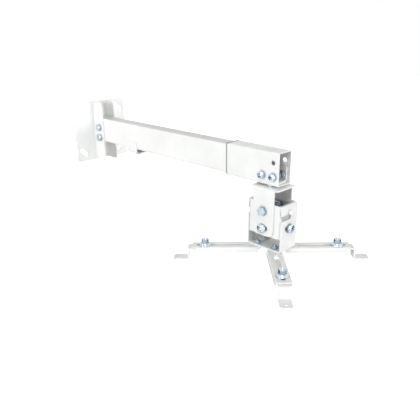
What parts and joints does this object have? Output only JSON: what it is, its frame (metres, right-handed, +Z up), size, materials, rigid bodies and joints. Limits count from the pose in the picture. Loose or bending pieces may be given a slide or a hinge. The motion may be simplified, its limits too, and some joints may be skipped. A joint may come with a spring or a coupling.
{
  "type": "projector wall mount",
  "caption": "White steel wall mount for a projector: a wall bracket, a box-section arm with a sliding end sleeve, and a tilting head with swinging legs and sliding feet.",
  "frame": {"origin": "on the wall face of the back plate, on the arm's axis", "axes": "+X out from the wall along the arm, +Z up, +Y to the right when the mount is seen from its free end's left side"},
  "size_m": [0.5623, 0.2196, 0.2021],
  "materials": {
    "white_steel": "satin powder coat",
    "zinc": "bright bluish zinc plate"
  },
  "bodies": {
    "wall_side": {"wall_plate": "white_steel", "arm_tube": "white_steel", "arm_bolt_upper": "zinc", "arm_bolt_lower": "zinc", "arm_nut_upper": "zinc", "arm_nut_lower": "zinc", "cable_clip": "white_steel", "clip_screw": "zinc"},
    "end_sleeve": {"sleeve": "white_steel", "saddle": "white_steel", "saddle_screw_left_in": "zinc", "saddle_screw_left_out": "zinc", "saddle_screw_right_in": "zinc", "saddle_screw_right_out": "zinc", "saddle_nut_left_in": "zinc", "saddle_nut_left_out": "zinc", "saddle_nut_right_in": "zinc", "saddle_nut_right_out": "zinc", "swivel_bolt": "zinc", "swivel_nut": "zinc", "swivel_washer": "zinc"},
    "yoke": {"yoke": "white_steel"},
    "knuckle": {"knuckle": "white_steel", "tilt_bolt_left": "zinc", "tilt_bolt_right": "zinc", "tilt_nut_left": "zinc", "tilt_nut_right": "zinc", "tilt_lock_left": "zinc", "tilt_lock_right": "zinc", "roll_bolt_in": "white_steel", "roll_bolt_out": "white_steel", "roll_nut_in": "zinc", "roll_nut_out": "zinc", "roll_lock_in": "zinc", "roll_lock_out": "zinc"},
    "cradle": {"cradle": "white_steel", "leg_bolt_in_left": "zinc", "leg_bolt_in_right": "zinc", "leg_bolt_out_left": "zinc", "leg_bolt_out_right": "zinc", "leg_nut_in_left": "zinc", "leg_nut_in_right": "zinc", "leg_nut_out_left": "zinc", "leg_nut_out_right": "zinc"},
    "leg_in_left": {"leg_in_left": "white_steel"},
    "leg_in_right": {"leg_in_right": "white_steel"},
    "leg_out_left": {"leg_out_left": "white_steel"},
    "leg_out_right": {"leg_out_right": "white_steel"},
    "foot_in_left": {"foot_in_left": "white_steel", "foot_bolt_in_left": "zinc", "foot_nut_in_left": "zinc"},
    "foot_in_right": {"foot_in_right": "white_steel", "foot_bolt_in_right": "zinc", "foot_nut_in_right": "zinc"},
    "foot_out_left": {"foot_out_left": "white_steel", "foot_bolt_out_left": "zinc", "foot_nut_out_left": "zinc"},
    "foot_out_right": {"foot_out_right": "white_steel", "foot_bolt_out_right": "zinc", "foot_nut_out_right": "zinc"}
  },
  "joints": [
    {"name": "sleeve_slide", "type": "slide", "parent": "wall_side", "child": "end_sleeve", "axis": [1, 0, 0], "range_m": [0, 0.04]},
    {"name": "head_swivel", "type": "hinge", "parent": "end_sleeve", "child": "yoke", "pos_m": [0.449, 0, -0.0278], "axis": [0, 0, 1], "continuous": true},
    {"name": "head_tilt", "type": "hinge", "parent": "yoke", "child": "knuckle", "pos_m": [0.449, 0, -0.0628], "axis": [0, 1, 0], "range_deg": [-12, 12]},
    {"name": "head_roll", "type": "hinge", "parent": "knuckle", "child": "cradle", "pos_m": [0.449, 0, -0.0628], "axis": [1, 0, 0], "range_deg": [-15, 15]},
    {"name": "leg_hinge_in_left", "type": "hinge", "parent": "cradle", "child": "leg_in_left", "pos_m": [0.43249, -0.013, -0.1251], "axis": [0, 0, 1], "range_deg": [-30, 30]},
    {"name": "leg_hinge_in_right", "type": "hinge", "parent": "cradle", "child": "leg_in_right", "pos_m": [0.43249, 0.013, -0.1251], "axis": [0, 0, 1], "range_deg": [-30, 30]},
    {"name": "leg_hinge_out_left", "type": "hinge", "parent": "cradle", "child": "leg_out_left", "pos_m": [0.46551, -0.013, -0.1251], "axis": [0, 0, 1], "range_deg": [-30, 30]},
    {"name": "leg_hinge_out_right", "type": "hinge", "parent": "cradle", "child": "leg_out_right", "pos_m": [0.46551, 0.013, -0.1251], "axis": [0, 0, 1], "range_deg": [-30, 30]},
    {"name": "foot_slide_in_left", "type": "slide", "parent": "leg_in_left", "child": "foot_in_left", "axis": [-0.7071, -0.7071, 0], "range_m": [-0.0165, 0.009]},
    {"name": "foot_slide_in_right", "type": "slide", "parent": "leg_in_right", "child": "foot_in_right", "axis": [-0.7071, 0.7071, 0], "range_m": [-0.0165, 0.009]},
    {"name": "foot_slide_out_left", "type": "slide", "parent": "leg_out_left", "child": "foot_out_left", "axis": [0.7071, -0.7071, 0], "range_m": [-0.0165, 0.009]},
    {"name": "foot_slide_out_right", "type": "slide", "parent": "leg_out_right", "child": "foot_out_right", "axis": [0.7071, 0.7071, 0], "range_m": [-0.0165, 0.009]}
  ]
}
